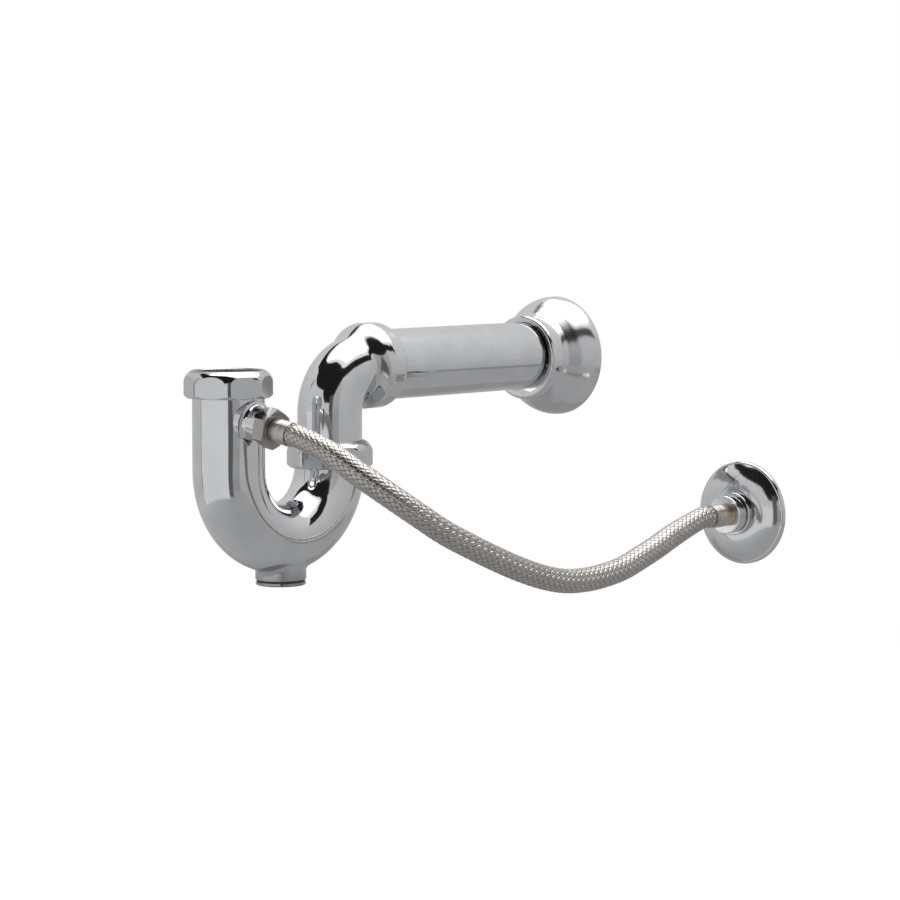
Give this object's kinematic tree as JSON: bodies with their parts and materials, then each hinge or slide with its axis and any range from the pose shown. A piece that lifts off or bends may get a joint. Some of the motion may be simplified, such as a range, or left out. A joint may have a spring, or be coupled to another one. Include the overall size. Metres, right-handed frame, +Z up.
{
  "type": "p trap",
  "caption": "Chrome P-trap for a wash basin: U bend with slip nuts and cleanout plug, elbow, wall arm with bell, and a braided primer line from a side port to a wall flange.",
  "frame": {"origin": "axis of the waste arm where it meets the wall", "axes": "+Y goes into the wall along the arm, +Z is up, +X is to the right of someone facing the wall"},
  "size_m": [0.2173, 0.3343, 0.1609],
  "materials": {
    "chrome_casting": "bright chrome plate on cast brass",
    "chrome_nut": "bright chrome plate on brass",
    "chrome_tube": "bright chrome plate on brass pipe",
    "chrome_sheet": "bright chrome plate",
    "screw_steel": "satin",
    "ferrule_steel": "bright rolled sleeve",
    "brass": "turned",
    "braid": "woven wire",
    "rubber_washer": "matt",
    "black_rubber": "matt",
    "liner_rubber": "matt"
  },
  "bodies": {
    "fixed_arm": {"waste_arm": "chrome_tube", "elbow": "chrome_casting", "wall_adapter": "chrome_nut", "wall_stem": "brass", "wall_ferrule": "ferrule_steel"},
    "trap": {"trap_body": "chrome_casting", "trap_stem": "brass", "trap_ferrule": "ferrule_steel", "hose_gasket": "black_rubber", "primer_hose": "braid", "hose_liner": "liner_rubber"},
    "inlet_washer": {"inlet_washer": "rubber_washer"},
    "inlet_nut": {"inlet_nut": "chrome_nut"},
    "union_washer": {"union_washer": "rubber_washer"},
    "union_nut": {"union_nut": "chrome_nut"},
    "cleanout_washer": {"cleanout_washer": "black_rubber"},
    "cleanout_plug": {"cleanout_plug": "chrome_nut"},
    "hose_nut": {"hose_nut": "chrome_nut"},
    "bell": {"wall_bell": "chrome_sheet"},
    "bell_screw": {"bell_set_screw": "screw_steel"},
    "flange": {"wall_flange": "chrome_sheet"}
  },
  "joints": [
    {"name": "trap_swivel", "type": "hinge", "parent": "fixed_arm", "child": "trap", "pos_m": [0, -0.2085, -0.048], "axis": [0, 0, 1], "range_deg": [-25, 35], "deforming": ["primer_hose", "hose_liner"]},
    {"name": "inlet_nut_lift", "type": "slide", "parent": "trap", "child": "inlet_washer", "axis": [0, 0, 1], "range_m": [0, 0.01]},
    {"name": "inlet_nut_turn", "type": "hinge", "parent": "inlet_washer", "child": "inlet_nut", "pos_m": [0, -0.291, -0.003], "axis": [0, 0, 1], "range_deg": [0, 1629]},
    {"name": "union_nut_lift", "type": "slide", "parent": "trap", "child": "union_washer", "axis": [0, 0, 1], "range_m": [0, 0.01]},
    {"name": "union_nut_turn", "type": "hinge", "parent": "union_washer", "child": "union_nut", "pos_m": [0, -0.2085, -0.048], "axis": [0, 0, 1], "range_deg": [0, 1629]},
    {"name": "cleanout_drop", "type": "slide", "parent": "trap", "child": "cleanout_washer", "axis": [0, 0, -1], "range_m": [0, 0.01]},
    {"name": "cleanout_turn", "type": "hinge", "parent": "cleanout_washer", "child": "cleanout_plug", "pos_m": [0, -0.24975, -0.12], "axis": [0, 0, -1], "range_deg": [0, 1629]},
    {"name": "hose_nut_spin", "type": "hinge", "parent": "trap", "child": "hose_nut", "pos_m": [0.03447, -0.291, -0.02888], "axis": [0.9848, 0, -0.1736], "continuous": true},
    {"name": "bell_slide", "type": "slide", "parent": "fixed_arm", "child": "bell", "axis": [0, -1, 0], "range_m": [0, 0.12]},
    {"name": "bell_screw_turn", "type": "hinge", "parent": "bell", "child": "bell_screw", "pos_m": [0.0227, -0.028, -0.00728], "axis": [0.9659, 0, -0.2588], "range_deg": [0, 720]},
    {"name": "flange_slide", "type": "slide", "parent": "fixed_arm", "child": "flange", "axis": [0, -1, 0], "range_m": [0, 0.01]}
  ],
  "couplings": [
    {"joint": "inlet_nut_lift", "follows": "inlet_nut_turn", "m_per_rad": 0.00035152},
    {"joint": "union_nut_lift", "follows": "union_nut_turn", "m_per_rad": 0.00035152},
    {"joint": "cleanout_drop", "follows": "cleanout_turn", "m_per_rad": 0.00035152}
  ]
}
